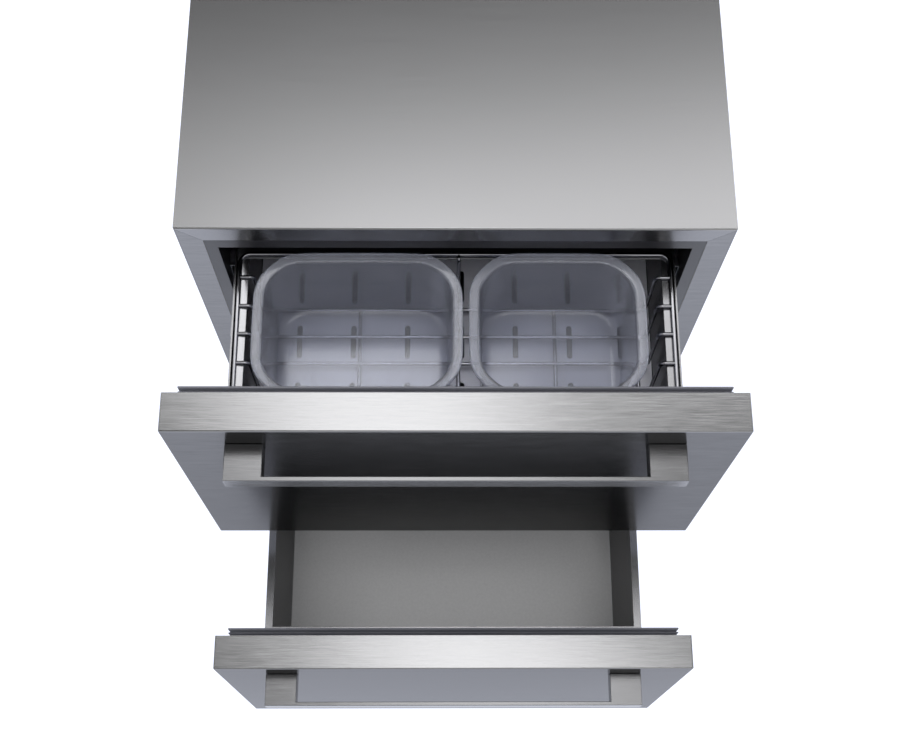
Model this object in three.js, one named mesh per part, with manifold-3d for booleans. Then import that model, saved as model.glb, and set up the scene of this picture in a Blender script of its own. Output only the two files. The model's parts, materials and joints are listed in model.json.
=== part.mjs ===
// Under counter fridge: a 24 inch class cabinet with two pull-out drawers,
// both shown open. Millimetres, +Z up, +Y towards the back, X across.
// The numbers are written with y = 0 on the front face of the cabinet and
// z = 0 on the floor. The whole group is then moved along Y so that the box
// round it stands centred on the origin.
import * as THREE from 'three';
import * as BufferGeometryUtils from 'three/addons/utils/BufferGeometryUtils.js';
import Module from 'manifold-3d';

const wasm = await Module();
wasm.setup();
const { Manifold, Mesh: SolidMesh } = wasm;

// ---------------------------------------------------------------- sizes
const HW = 303;            // half of the cabinet width
const DEPTH = 540;         // cabinet front face to rear face
const HEIGHT = 870;        // floor to worktop
const FOOT = 29;           // floor to the underside of the cabinet
const T = 1.2;             // sheet steel
const GAP = 0.3;           // between touching pieces
const FLANGE = 28;         // front flange, top and sides
const BAND = 275;          // half width inside the flange
const OPEN = 261;          // half width of both openings
const UP_Z0 = 493, UP_Z1 = 824;   // upper opening
const LO_Z0 = 150, LO_Z1 = 404;   // lower opening
const MUL_Z0 = 421, MUL_Z1 = 476; // steel strip between the openings
const LINER_BACK = 495;
const STEP_Y = 320, STEP_Z = 245; // raised floor over the machine bay
const BAY_TOP = 217;
const BAY_Y = 345;
const FOAM_BOTTOM = 120;
const GRILLE_TOP = 132.8;

const PANEL_HW = 302.4;    // drawer fronts
const PANEL_T = 42.3;
const UP_PANEL_BACK = -184.6;
const LO_PANEL_BACK = -361.1;
const UP_PANEL_Z = [451, 868];
const LO_PANEL_Z = [29, 446];
const PLINTH_HW = 266;     // raised field on the back of each front
const GASKET_HW = 288.5;
const GASKET_LEG = 15;
const GASKET_T = 12;

const TUB_HW = 248;
const UP_TUB = { y0: -172.4, y1: 213, z0: 503, shelf: 780, lip: 786, in: 233, skirt: 690, front: 7 };
const LO_TUB = { y0: -348.8, y1: -49, z0: 161, rim: 382, in: 238, skirt: 290 };
const TRAY_Z = 678;

const SLIDE_L = 400, SLIDE_Y = 15;
const UP_SLIDE_Z = 700, LO_SLIDE_Z = 300, SLIDE_H = 45;
const UP_OUT = 172.1, LO_OUT = 348.6;  // how far out each drawer stands

const EVAP_FAN = { x: 175, z: 660, r: 41, y: 440 };
const COND_FAN = { x: 145, z: 102, r: 43, y: 388.3 };

// ------------------------------------------------------------- materials
const steel = { color: 0xb9b6bf, roughness: 0.32, metalness: 1.0 };
const steelDull = { color: 0xa3a3a8, roughness: 0.5, metalness: 1.0 };
const dark = { color: 0x26272b, roughness: 0.45, metalness: 0.0 };
const foam = { color: 0xd9c98c, roughness: 0.9, metalness: 0.0 };
const chrome = { color: 0xd6d8dc, roughness: 0.12, metalness: 1.0 };
const gasketGrey = { color: 0x6f6f78, roughness: 0.6, metalness: 0.0 };
const binGrey = { color: 0xb4b3c4, roughness: 0.25, metalness: 0.0 };
const galv = { color: 0x9aa0a3, roughness: 0.55, metalness: 0.9 };
const blackMetal = { color: 0x17181a, roughness: 0.4, metalness: 0.4 };
const copper = { color: 0xb4734a, roughness: 0.35, metalness: 1.0 };
const aluminium = { color: 0xb8bcc0, roughness: 0.4, metalness: 1.0 };
const rubber = { color: 0x18181a, roughness: 0.8, metalness: 0.0 };

// --------------------------------------------------------------- helpers
function solidOf(geometry) {
  let g = geometry.clone();
  for (const name of ['normal', 'uv', 'uv1', 'color']) {
    if (g.attributes[name]) g.deleteAttribute(name);
  }
  g = BufferGeometryUtils.mergeVertices(g, 1e-4);
  const index = g.index.array;
  const tri = [];
  for (let i = 0; i < index.length; i += 3) {
    const [a, b, c] = [index[i], index[i + 1], index[i + 2]];
    if (a !== b && b !== c && a !== c) tri.push(a, b, c);
  }
  return new Manifold(new SolidMesh({
    numProp: 3,
    vertProperties: new Float32Array(g.attributes.position.array),
    triVerts: new Uint32Array(tri),
  }));
}

function geometryOf(solid) {
  const mesh = solid.getMesh();
  const g = new THREE.BufferGeometry();
  g.setAttribute('position', new THREE.BufferAttribute(new Float32Array(mesh.vertProperties), 3));
  g.setIndex(new THREE.BufferAttribute(new Uint32Array(mesh.triVerts), 1));
  g.computeVertexNormals();
  return g;
}

function box(x0, x1, y0, y1, z0, z1) {
  const g = new THREE.BoxGeometry(x1 - x0, y1 - y0, z1 - z0);
  g.translate((x0 + x1) / 2, (y0 + y1) / 2, (z0 + z1) / 2);
  return solidOf(g);
}

// A box that is cut out of something
const hole = box;

function join(...parts) {
  return parts.flat().reduce((a, b) => a.add(b));
}

function cut(a, ...parts) {
  return parts.flat().reduce((r, b) => r.subtract(b), a);
}

// A cylinder along one axis
function rod(axis, r, a0, a1, u, v, sides = 16) {
  const g = new THREE.CylinderGeometry(r, r, a1 - a0, sides);
  const mid = (a0 + a1) / 2;
  if (axis === 'x') { g.rotateZ(Math.PI / 2); g.translate(mid, u, v); }
  if (axis === 'y') g.translate(u, mid, v);
  if (axis === 'z') { g.rotateX(Math.PI / 2); g.translate(u, v, mid); }
  return solidOf(g);
}

// An outline in X and Z, or Y and Z, pushed out along the third axis
function prismY(outline, y0, y1) {
  const s = new THREE.Shape(outline.map((p) => new THREE.Vector2(p[0], p[1])));
  const g = new THREE.ExtrudeGeometry(s, { depth: y1 - y0, bevelEnabled: false });
  g.rotateX(Math.PI / 2);          // x stays, y goes to z, depth runs to -y
  g.translate(0, y1, 0);
  return solidOf(g);
}
function prismX(outline, x0, x1) {
  const s = new THREE.Shape(outline.map((p) => new THREE.Vector2(p[0], p[1])));
  const g = new THREE.ExtrudeGeometry(s, { depth: x1 - x0, bevelEnabled: false });
  g.rotateX(Math.PI / 2);          // outline (y, z) is now (x, z)
  g.rotateZ(Math.PI / 2);          // and then (y, z), depth runs along x
  g.translate(x0, 0, 0);
  return solidOf(g);
}

// Rings of points joined one to the next, with both ends closed, or the last
// ring joined to the first
function loft(rings, closed = false) {
  const n = rings[0].length;
  const pos = [];
  for (const ring of rings) for (const p of ring) pos.push(p[0], p[1], p[2]);
  const idx = [];
  const last = closed ? rings.length : rings.length - 1;
  for (let i = 0; i < last; i++) {
    const a = i * n, b = ((i + 1) % rings.length) * n;
    for (let j = 0; j < n; j++) {
      const k = (j + 1) % n;
      idx.push(a + j, a + k, b + k, a + j, b + k, b + j);
    }
  }
  if (!closed) {
    for (let j = 1; j < n - 1; j++) {
      idx.push(0, j + 1, j);
      const b = (rings.length - 1) * n;
      idx.push(b, b + j, b + j + 1);
    }
  }
  const g = new THREE.BufferGeometry();
  g.setAttribute('position', new THREE.BufferAttribute(new Float32Array(pos), 3));
  g.setIndex(idx);
  // turned the right way out
  let v = 0;
  const P = (i) => [pos[3 * i], pos[3 * i + 1], pos[3 * i + 2]];
  for (let i = 0; i < idx.length; i += 3) {
    const [a, b, c] = [P(idx[i]), P(idx[i + 1]), P(idx[i + 2])];
    v += a[0] * (b[1] * c[2] - b[2] * c[1]) - a[1] * (b[0] * c[2] - b[2] * c[0])
      + a[2] * (b[0] * c[1] - b[1] * c[0]);
  }
  if (v < 0) {
    for (let i = 0; i < idx.length; i += 3) {
      const s = idx[i + 1]; idx[i + 1] = idx[i + 2]; idx[i + 2] = s;
    }
    g.setIndex(idx);
  }
  return g;
}

// A wire along a list of points with its corners rounded
function wire(points, r, bend, sides = 6, closed = false, steps = 3) {
  const pts = points.map((p) => new THREE.Vector3(...p));
  const path = [];
  const n = pts.length;
  for (let i = 0; i < n; i++) {
    if (!closed && (i === 0 || i === n - 1)) { path.push(pts[i]); continue; }
    const a = pts[(i + n - 1) % n], b = pts[i], c = pts[(i + 1) % n];
    const u = a.clone().sub(b), w = c.clone().sub(b);
    const lu = u.length(), lw = w.length();
    const d = Math.min(bend, lu * 0.49, lw * 0.49);
    u.normalize(); w.normalize();
    const p0 = b.clone().addScaledVector(u, d), p2 = b.clone().addScaledVector(w, d);
    for (let k = 0; k <= steps; k++) {
      const t = k / steps;
      path.push(p0.clone().multiplyScalar((1 - t) * (1 - t))
        .addScaledVector(b, 2 * t * (1 - t)).addScaledVector(p2, t * t));
    }
  }
  const m = path.length;
  const tangent = (i) => {
    const a = closed ? path[(i + m - 1) % m] : path[Math.max(0, i - 1)];
    const b = closed ? path[(i + 1) % m] : path[Math.min(m - 1, i + 1)];
    return b.clone().sub(a).normalize();
  };
  // the plane of the bends gives a frame that does not twist
  let normal = new THREE.Vector3();
  for (let i = 1; i < m - 1; i++) {
    const c = path[i].clone().sub(path[i - 1]).cross(path[i + 1].clone().sub(path[i]));
    if (c.lengthSq() > 1e-6) { normal = c.normalize(); break; }
  }
  if (normal.lengthSq() < 0.5) {
    const t = tangent(0);
    normal = Math.abs(t.z) < 0.9 ? new THREE.Vector3(0, 0, 1) : new THREE.Vector3(1, 0, 0);
    normal.addScaledVector(t, -t.dot(normal)).normalize();
  }
  const rings = [];
  for (let i = 0; i < m; i++) {
    const t = tangent(i);
    normal.addScaledVector(t, -t.dot(normal)).normalize();
    const side = new THREE.Vector3().crossVectors(t, normal).normalize();
    const ring = [];
    for (let k = 0; k < sides; k++) {
      const a = (2 * Math.PI * (k + 0.5)) / sides;
      const p = path[i].clone().addScaledVector(side, r * Math.cos(a))
        .addScaledVector(normal, r * Math.sin(a));
      ring.push([p.x, p.y, p.z]);
    }
    rings.push(ring);
  }
  return solidOf(loft(rings, closed));
}

// A rounded and slightly bowed rectangle as a ring of points
function roundRing(x0, x1, y0, y1, r, z, bow = 0, seg = 5) {
  const ring = [];
  const cx = (x0 + x1) / 2, cy = (y0 + y1) / 2;
  const hx = (x1 - x0) / 2, hy = (y1 - y0) / 2;
  const corners = [[1, 1, 0], [-1, 1, 1], [-1, -1, 2], [1, -1, 3]];
  for (const [sx, sy, q] of corners) {
    for (let k = 0; k <= seg; k++) {
      const a = (Math.PI / 2) * (q + k / seg);
      ring.push([cx + sx * (hx - r) + r * Math.cos(a), cy + sy * (hy - r) + r * Math.sin(a), z]);
    }
    const mid = q % 2 === 0 ? [cx, cy + sy * (hy + bow), z] : [cx + sx * (hx + bow), cy, z];
    ring.push(mid);
  }
  return ring;
}

function finish(name, solid, look, group) {
  const mesh = new THREE.Mesh(
    solid.isBufferGeometry ? solid : geometryOf(solid),
    new THREE.MeshStandardMaterial({
      name, color: look.color, roughness: look.roughness, metalness: look.metalness,
      opacity: look.opacity ?? 1, transparent: (look.opacity ?? 1) < 1,
    }),
  );
  mesh.name = name;
  group.add(mesh);
  return mesh;
}

const group = new THREE.Group();
group.name = 'under_counter_fridge';
const add = (name, solid, look) => finish(name, solid, look, group);

// ---------------------------------------------------------- cabinet shell
// Side panels: a sheet with a front flange, mitred at the top
for (const s of [-1, 1]) {
  const name = s < 0 ? 'left_side_panel' : 'right_side_panel';
  const sheet = box(Math.min(s * HW, s * (HW - T)), Math.max(s * HW, s * (HW - T)),
    0, DEPTH, FOOT, HEIGHT - T - GAP);
  const flange = prismY([
    [s * HW, FOOT], [s * BAND, FOOT], [s * BAND, HEIGHT - FLANGE - GAP],
    [s * (HW - T - GAP), HEIGHT - T - 2 * GAP], [s * HW, HEIGHT - T - 2 * GAP],
  ], 0, T);
  const hem = box(Math.min(s * (HW - T), s * (HW - 14)), Math.max(s * (HW - T), s * (HW - 14)),
    DEPTH - 1.1 - T, DEPTH - 1.1, FOOT + 5, FOOT + 60);
  add(name, join(sheet, flange, hem.subtract(box(-400, 400, 0, 539, 31, 900))), steel);
}

// Top panel with its down-turned front flange
{
  const sheet = box(-HW, HW, 0, DEPTH, HEIGHT - T, HEIGHT);
  const flange = prismY([
    [-HW + T + GAP, HEIGHT - T], [HW - T - GAP, HEIGHT - T],
    [BAND, HEIGHT - FLANGE], [-BAND, HEIGHT - FLANGE],
  ], 0, T);
  add('top_panel', join(sheet, flange), steel);
}

add('rear_panel', box(-301.3, 301.3, DEPTH - 1.4, DEPTH - 0.2, 215, 868.3), galv);
{
  let cover = box(-301.3, 301.3, DEPTH - 1.4, DEPTH - 0.2, 31.2, 214.4);
  for (let row = 0; row < 6; row++) {
    for (const x of [-190, 145]) {
      cover = cover.subtract(hole(x - 60, x + 60, 530, 545, 62 + row * 20, 68 + row * 20));
    }
  }
  cover = cover.subtract(hole(-24.3, 4.3, 530, 545, 109.7, 134.3));
  add('machine_rear_cover', cover, galv);
}

const FEET = [[-270, 40], [270, 40], [-270, 500], [270, 500]];
{
  let pan = box(-301.3, 301.3, 1.6, DEPTH - 1.7, FOOT, FOOT + 1.5);
  for (const [x, y] of FEET) pan = pan.subtract(rod('z', 5.4, 20, 40, x, y, 16));
  for (let i = 0; i < 5; i++) {
    pan = pan.subtract(hole(-190 + i * 80, -130 + i * 80, 300, 308, 20, 40));
  }
  add('base_pan', pan, galv);
}

// Louvred rail under the lower opening
{
  let rail = box(-BAND + GAP, BAND - GAP, 0, T, FOOT + 1.8, GRILLE_TOP);
  for (let row = 0; row < 4; row++) {
    for (let col = 0; col < 6; col++) {
      const x = -225 + col * 90;
      rail = rail.subtract(hole(x - 36, x + 36, -5, 5, 48 + row * 18, 55 + row * 18));
    }
  }
  add('front_vent_grille', rail, steelDull);
}

// -------------------------------------------------------------- insulation
add('insulation_top', box(-301.3, 301.3, 1.6, DEPTH - 1.7, UP_Z1 + T + GAP, HEIGHT - T - GAP), foam);
for (const s of [-1, 1]) {
  const xs = [s * (HW - T - GAP), s * (OPEN + T + GAP)].sort((a, b) => a - b);
  add(s < 0 ? 'insulation_left' : 'insulation_right',
    box(xs[0], xs[1], 1.6, DEPTH - 1.7, FOAM_BOTTOM, UP_Z1 + T), foam);
}
add('insulation_rear', box(-262.2, 262.2, LINER_BACK + T + GAP, DEPTH - 1.7, BAY_TOP, UP_Z1 + T), foam);
add('insulation_mullion', box(-262.2, 262.2, 1.6, LINER_BACK + T, LO_Z1 + T + GAP, UP_Z0 - T - GAP), foam);
add('insulation_floor', prismX([
  [1.6, FOAM_BOTTOM], [BAY_Y, FOAM_BOTTOM], [BAY_Y, BAY_TOP], [LINER_BACK + T, BAY_TOP],
  [LINER_BACK + T, STEP_Z - T - GAP], [STEP_Y + T + GAP, STEP_Z - T - GAP],
  [STEP_Y + T + GAP, LO_Z0 - T - GAP], [1.6, LO_Z0 - T - GAP],
], -262.2, 262.2), foam);

// ------------------------------------------------------------------ liners
{
  const outer = box(-OPEN - T, OPEN + T, 0, LINER_BACK + T, UP_Z0 - T, UP_Z1 + T);
  const inner = hole(-OPEN, OPEN, -10, LINER_BACK, UP_Z0, UP_Z1);
  const band = box(-BAND + GAP, BAND - GAP, 0, T, MUL_Z1 + GAP, HEIGHT - FLANGE - GAP);
  add('upper_liner', cut(join(outer, band), inner), dark);
}
{
  const outerProfile = [
    [0, LO_Z0 - T], [STEP_Y + T, LO_Z0 - T], [STEP_Y + T, STEP_Z - T], [LINER_BACK + T, STEP_Z - T],
    [LINER_BACK + T, LO_Z1 + T], [0, LO_Z1 + T]];
  const innerProfile = [
    [-10, LO_Z0], [STEP_Y, LO_Z0], [STEP_Y, STEP_Z], [LINER_BACK, STEP_Z],
    [LINER_BACK, LO_Z1], [-10, LO_Z1]];
  const band = box(-BAND + GAP, BAND - GAP, 0, T, GRILLE_TOP + GAP, MUL_Z0 - GAP);
  add('lower_liner', cut(join(prismX(outerProfile, -OPEN - T, OPEN + T), band),
    prismX(innerProfile, -OPEN, OPEN)), dark);
}
add('centre_mullion', box(-BAND + GAP, BAND - GAP, 0, T, MUL_Z0, MUL_Z1), steel);

// -------------------------------------------------------------- evaporator
{
  const y0 = 435, y1 = 494.7;
  let cover = join(
    box(-260.5, 260.5, y0, y0 + T, UP_Z0 + 0.5, UP_Z1 - 0.5),
    box(-260.5, 260.5, y0, y1, UP_Z1 - 0.5 - T, UP_Z1 - 0.5),
    box(-260.5, 260.5, y0, y1, UP_Z0 + 0.5, UP_Z0 + 0.5 + T),
  );
  cover = cover.subtract(rod('y', EVAP_FAN.r + 3, y0 - 5, y0 + 3.5, EVAP_FAN.x, EVAP_FAN.z, 32));
  for (let col = 0; col < 4; col++) {
    for (let row = 0; row < 3; row++) {
      const x = -200 + col * 80;
      cover = cover.subtract(hole(x - 30, x + 30, y0 - 5, y0 + 3.5, 510 + row * 10, 515 + row * 10));
    }
  }
  add('evaporator_cover', cover, steelDull);
}
{
  let coil = box(-220, 90, 446, 484, 560, 790);
  for (let i = 0; i < 8; i++) {
    coil = coil.subtract(hole(-195 + i * 34, -189 + i * 34, 440, 456, 550, 800));
  }
  const bends = [];
  for (let i = 0; i < 3; i++) {
    for (const s of [-1, 1]) {
      const x0 = s < 0 ? -222 + 4 : 92 - 4, x1 = x0 + s * 20;
      const z = 590 + i * 64 + (s > 0 ? 20 : 0);
      bends.push(wire([[x0, 465, z], [x1, 465, z], [x1, 465, z + 32], [x0, 465, z + 32]], 4, 12, 6));
    }
  }
  coil = join(coil, ...bends, box(-150, -130, 480, 494.7, 600, 760), box(0, 20, 480, 494.7, 600, 760));
  add('evaporator_coil', coil, aluminium);
}
{
  // motor on a three-armed bracket from the rear wall
  const { x, z } = EVAP_FAN;
  let motor = rod('y', 19, 458, 486, x, z, 20);
  motor = join(motor, box(x - 50, x + 50, 484, 488, z - 7, z + 7),
    box(x - 50, x - 38, 484, 494.7, z - 7, z + 7), box(x + 38, x + 50, 484, 494.7, z - 7, z + 7));
  add('evaporator_fan_motor', motor, blackMetal);
}

function fan(spec, bladeDepth, hubR, hubDepth, blades, tip) {
  const { x, y, z } = spec;
  let solid = rod('y', hubR, y, y + hubDepth, x, z, 16);
  const half = bladeDepth / 2;
  for (let i = 0; i < blades; i++) {
    // a blade set at an angle, wider at its tip
    const w = hubR * 0.55, wt = tip * 0.34, lean = 0.45;
    const rings = [];
    for (const [r, width] of [[hubR * 0.6, w], [(hubR + tip) / 2, (w + wt) / 2], [tip, wt]]) {
      const ring = [];
      for (const [u, v] of [[-1, -1], [1, -1], [1, 1], [-1, 1]]) {
        const along = u * width;
        const yy = along * lean * (half / wt) * 1.6 + v * 0.8;
        ring.push([along, y + hubDepth / 2 + yy, r]);
      }
      rings.push(ring);
    }
    const g = loft(rings);
    g.translate(0, 0, 0);
    const m = new THREE.Matrix4().makeTranslation(x, 0, z)
      .multiply(new THREE.Matrix4().makeRotationY((2 * Math.PI * i) / blades));
    g.applyMatrix4(m);
    solid = solid.add(solidOf(g));
  }
  return solid;
}
add('evaporator_fan', fan(EVAP_FAN, 12, 13, 17.5, 5, EVAP_FAN.r), dark);

// -------------------------------------------------------------- machine bay
{
  const p = [[0, 46], [52, 46], [60, 58], [62, 74], [62, 84], [65, 86], [65, 92], [62, 94],
    [62, 140], [57, 164], [44, 182], [24, 190], [0, 192]];
  const g = new THREE.LatheGeometry([...p, p[0]].map((q) => new THREE.Vector2(q[0], q[1])), 20);
  g.rotateX(Math.PI / 2);
  g.translate(-140, 440, 0);
  let body = solidOf(g);
  body = join(body, box(-215, -65, 385, 495, 40, 44), box(-190, -90, 400, 480, 43, 50));
  for (const dx of [-66, 66]) {
    for (const dy of [-44, 44]) {
      body = join(body, rod('z', 9, 30.8, 41, -140 + dx, 440 + dy, 12));
    }
  }
  body = join(body, box(-100, -70, 425, 455, 96, 140));
  add('compressor', body, blackMetal);
}
{
  let coil = box(60, 230, 352, 382, 30.8, 172);
  for (let i = 0; i < 9; i++) {
    coil = coil.subtract(hole(68 + i * 18, 74 + i * 18, 340, 362, 40, 165));
  }
  const bends = [];
  for (let i = 0; i < 3; i++) {
    for (const s of [-1, 1]) {
      const x0 = s < 0 ? 62 : 228, x1 = x0 + s * 14;
      const z = 50 + i * 40 + (s > 0 ? 12 : 0);
      bends.push(wire([[x0, 370, z], [x1, 370, z], [x1, 370, z + 20], [x0, 370, z + 20]], 3.5, 8, 6));
    }
  }
  add('condenser_coil', join(coil, ...bends), aluminium);
}
{
  const { x, z, y } = COND_FAN;
  let shroud = box(60, 230, 382.3, 384.3, 30.8, 172);
  shroud = join(shroud, rod('y', 50, 384, 409, x, z, 32));
  shroud = shroud.subtract(rod('y', 46.5, 380, 415, x, z, 32));
  shroud = join(shroud, rod('y', 16, 406, 432, x, z, 16));
  for (const a of [0.5, 2.594, 4.689]) {
    const arm = box(-3, 3, 406, 409, 10, 48);
    shroud = shroud.add(arm.rotate([0, (a * 180) / Math.PI, 0]).translate([x, 0, z]));
  }
  add('condenser_fan_shroud', shroud, blackMetal);
}
add('condenser_fan', fan(COND_FAN, 12, 14, 17.2, 5, COND_FAN.r), dark);
{
  let pan = cut(box(60, 230, 440, 530, 176, 204), hole(62, 228, 442, 528, 178, 210));
  for (const x of [60, 226]) {
    for (const y of [440, 526]) pan = join(pan, box(x, x + 4, y, y + 4, 30.8, 178));
  }
  add('drain_pan', pan, dark);
}
add('control_box', join(box(-55, 40, 400, 500, 33, 96), box(-60, 45, 410, 420, 30.8, 36),
  box(-60, 45, 480, 490, 30.8, 36)), galv);
add('refrigerant_lines', wire([[-74, 430, 160], [0, 430, 196], [0, 367, 196],
  [120, 367, 196], [120, 367, 173]], 4, 9, 8), copper);
{
  let inlet = box(-24, 4, 512, DEPTH - 0.4, 110, 134);
  inlet = inlet.subtract(hole(-20, 0, 524, 545, 114, 130));
  for (const [dx, dz] of [[-16, 119], [-10, 124], [-4, 119]]) {
    inlet = join(inlet, box(dx - 1, dx + 1, 522, 533, dz - 2, dz + 2));
  }
  add('power_inlet', inlet, dark);
}

// --------------------------------------------------------------------- feet
FEET.forEach(([x, y], i) => {
  const p = [[0, 0], [17, 0], [19, 2], [19, 7], [17, 9], [9, 12], [9, 22], [4.9, 22], [4.9, 50], [0, 50]];
  const g = new THREE.LatheGeometry([...p, p[0]].map((q) => new THREE.Vector2(q[0], q[1])), 18);
  g.rotateX(Math.PI / 2);
  g.translate(x, y, 0);
  const collar = rod('z', 12, 22, FOOT - GAP, x, y, 6);
  add(['foot_front_left', 'foot_front_right', 'foot_rear_left', 'foot_rear_right'][i],
    join(solidOf(g), collar), rubber);
});

// ------------------------------------------------------------------- slides
// Three nested channels on each side of each drawer
function channel(s, web, lipTo, z0, z1, y0) {
  const t = 1.2;
  const w0 = Math.min(s * web, s * (web + (lipTo < web ? -t : t)));
  const w1 = Math.max(s * web, s * (web + (lipTo < web ? -t : t)));
  const l0 = Math.min(s * web, s * lipTo), l1 = Math.max(s * web, s * lipTo);
  return join(box(w0, w1, y0, y0 + SLIDE_L, z0, z1),
    box(l0, l1, y0, y0 + SLIDE_L, z0, z0 + t), box(l0, l1, y0, y0 + SLIDE_L, z1 - t, z1));
}
for (const [tag, z, out] of [['upper', UP_SLIDE_Z, UP_OUT], ['lower', LO_SLIDE_Z, LO_OUT]]) {
  for (const [side, s] of [['left', -1], ['right', 1]]) {
    add(`${tag}_slide_cabinet_${side}`, channel(s, 260.7, 252.4, z, z + SLIDE_H, SLIDE_Y), galv);
    add(`${tag}_slide_middle_${side}`,
      channel(s, 256.2, 250.8, z + 4, z + SLIDE_H - 4, SLIDE_Y - out / 2), galv);
    add(`${tag}_slide_drawer_${side}`,
      channel(s, 248.3, 252.6, z + 9, z + SLIDE_H - 9, SLIDE_Y - out), galv);
  }
}

// ------------------------------------------------------------ drawer fronts
function front(tag, back, z0, z1, gz0, gz1) {
  const face = back - PANEL_T;
  // skin: a pan open at the back
  add(`${tag}_front_skin`, cut(
    box(-PANEL_HW, PANEL_HW, face, back, z0, z1),
    hole(-PANEL_HW + T, PANEL_HW - T, face + T, back + 5, z0 + T, z1 - T)), steel);
  // back sheet with a raised field
  const pz0 = gz0 + GASKET_LEG + 5, pz1 = gz1 - GASKET_LEG - 5;
  const liner = cut(
    join(box(-PANEL_HW + T + GAP, PANEL_HW - T - GAP, back - T, back, z0 + T + GAP, z1 - T - GAP),
      box(-PLINTH_HW, PLINTH_HW, back - T, back + 11.8, pz0, pz1)),
    hole(-PLINTH_HW + T, PLINTH_HW - T, back - 5, back + 11.8 - T, pz0 + T, pz1 - T));
  add(`${tag}_door_liner`, liner, steelDull);
  add(`${tag}_front_insulation`, join(
    box(-PANEL_HW + T + GAP, PANEL_HW - T - GAP, face + T + GAP, back - T - GAP,
      z0 + T + GAP, z1 - T - GAP),
    box(-PLINTH_HW + T + GAP, PLINTH_HW - T - GAP, back - 5, back + 11.8 - T - GAP,
      pz0 + T + GAP, pz1 - T - GAP)), foam);
  // gasket: two bellows, swept round the panel with mitred corners
  const g0 = back + GAP, g1 = back + GASKET_T;
  const prof = [[0, 0], [1, 0.14], [2.6, 0.3], [1, 0.46], [2.6, 0.62], [0.6, 0.84], [0, 1],
    [14.5, 1], [14.5, 0.84], [12.4, 0.62], [14, 0.46], [12.4, 0.3], [14, 0.14], [15, 0]];
  const cz = (gz0 + gz1) / 2, hz = (gz1 - gz0) / 2;
  const rings = [];
  for (const [sx, sz] of [[1, 1], [-1, 1], [-1, -1], [1, -1]]) {
    rings.push(prof.map(([d, h]) => [
      sx * (GASKET_HW - d), g0 + (g1 - g0) * h, cz + sz * (hz - d)]));
  }
  add(`${tag}_gasket`, geometryOf(solidOf(loft(rings, true))), gasketGrey);
  // bar handle on two end brackets
  const top = z1 - 41, bar = face - 40;
  add(`${tag}_handle`, join(
    box(-241, 241, bar, bar + 5, top - 22, top),
    box(-241, -201, bar + 4, face - GAP, top - 22, top),
    box(201, 241, bar + 4, face - GAP, top - 22, top)), steel);
}
front('upper', UP_PANEL_BACK, UP_PANEL_Z[0], UP_PANEL_Z[1], 465, 854);
front('lower', LO_PANEL_BACK, LO_PANEL_Z[0], LO_PANEL_Z[1], 128, 432);

// --------------------------------------------------------------- upper tub
{
  const { y0, y1, z0, shelf, lip, in: hw, skirt, front: wf } = UP_TUB;
  const w = TUB_HW - hw;                    // shelf width
  let tub = box(-TUB_HW, TUB_HW, y0, y1, skirt, lip);
  tub = tub.subtract(hole(-TUB_HW + T, TUB_HW - T, y0 + T, y1 - T, skirt - 5, shelf - T));
  tub = tub.subtract(hole(-TUB_HW + 2, TUB_HW - 2, y0 - 5, y1 - 2, shelf, lip + 5));
  tub = tub.subtract(hole(-hw, hw, y0 + wf, y1 - w, skirt - 5, lip + 5));
  const well = cut(box(-hw - T, hw + T, y0 + wf - T, y1 - w + T, z0, shelf - 0.5),
    hole(-hw, hw, y0 + wf, y1 - w, z0 + T, shelf + 5));
  tub = join(tub, well);
  // ledges that carry the tray, and a rail under the back of the basket
  tub = join(tub,
    box(-hw - 0.5, -hw + 8, y0 + wf - 0.5, y1 - w + 0.5, TRAY_Z - GAP - T, TRAY_Z - GAP),
    box(hw - 8, hw + 0.5, y0 + wf - 0.5, y1 - w + 0.5, TRAY_Z - GAP - T, TRAY_Z - GAP),
    box(-hw - 0.5, hw + 0.5, 7.8, 22, shelf - T, shelf),
    box(-hw - 0.5, hw + 0.5, 20.8, 22, shelf - 16, shelf));
  add('upper_drawer_tub', tub, steel);

  let tray = box(-hw + 0.6, hw - 0.6, y0 + wf + 0.6, y1 - w - 0.6, TRAY_Z, TRAY_Z + T);
  for (let col = 0; col < 7; col++) {
    for (let row = 0; row < 5; row++) {
      const x = 8 + (col - 3) * 64, y = -126 + row * 72;
      tray = tray.subtract(hole(x - 3.3, x + 3.3, y - 21, y + 21, TRAY_Z - 3, TRAY_Z + 5));
    }
  }
  add('slotted_tray', tray, steelDull);
}

// ------------------------------------------------------------- wire basket
const RIM_Z = 782.9;
{
  const r = 2.2, z = RIM_Z, low = 689;
  const x = 243, xi = 226, ya = -168.8, yb = 12;
  const parts = [wire([[-x, ya, z], [x, ya, z], [x, yb, z], [-x, yb, z]], 2.5, 12, 8, true, 4)];
  for (const y of [-154.3, -119.9, -85.4, -51.8, -16.8]) {
    parts.push(wire([[-x, y, z], [-xi, y, z], [-xi, y, low], [xi, y, low], [xi, y, z], [x, y, z]],
      r, 8, 6));
  }
  const mid = 4;
  parts.push(wire([[mid, ya, z], [mid, ya + 5.9, z], [mid, ya + 5.9, low - 3.6],
    [mid, yb - 7, low - 3.6], [mid, yb - 7, z], [mid, yb, z]], r, 5, 6));
  for (const xx of [-215, -112, 118, 215]) {
    parts.push(wire([[xx, -154.3, low - 3.6], [xx, -16.8, low - 3.6]], r, 1, 6));
  }
  add('wire_basket', join(parts), chrome);
}

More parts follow.
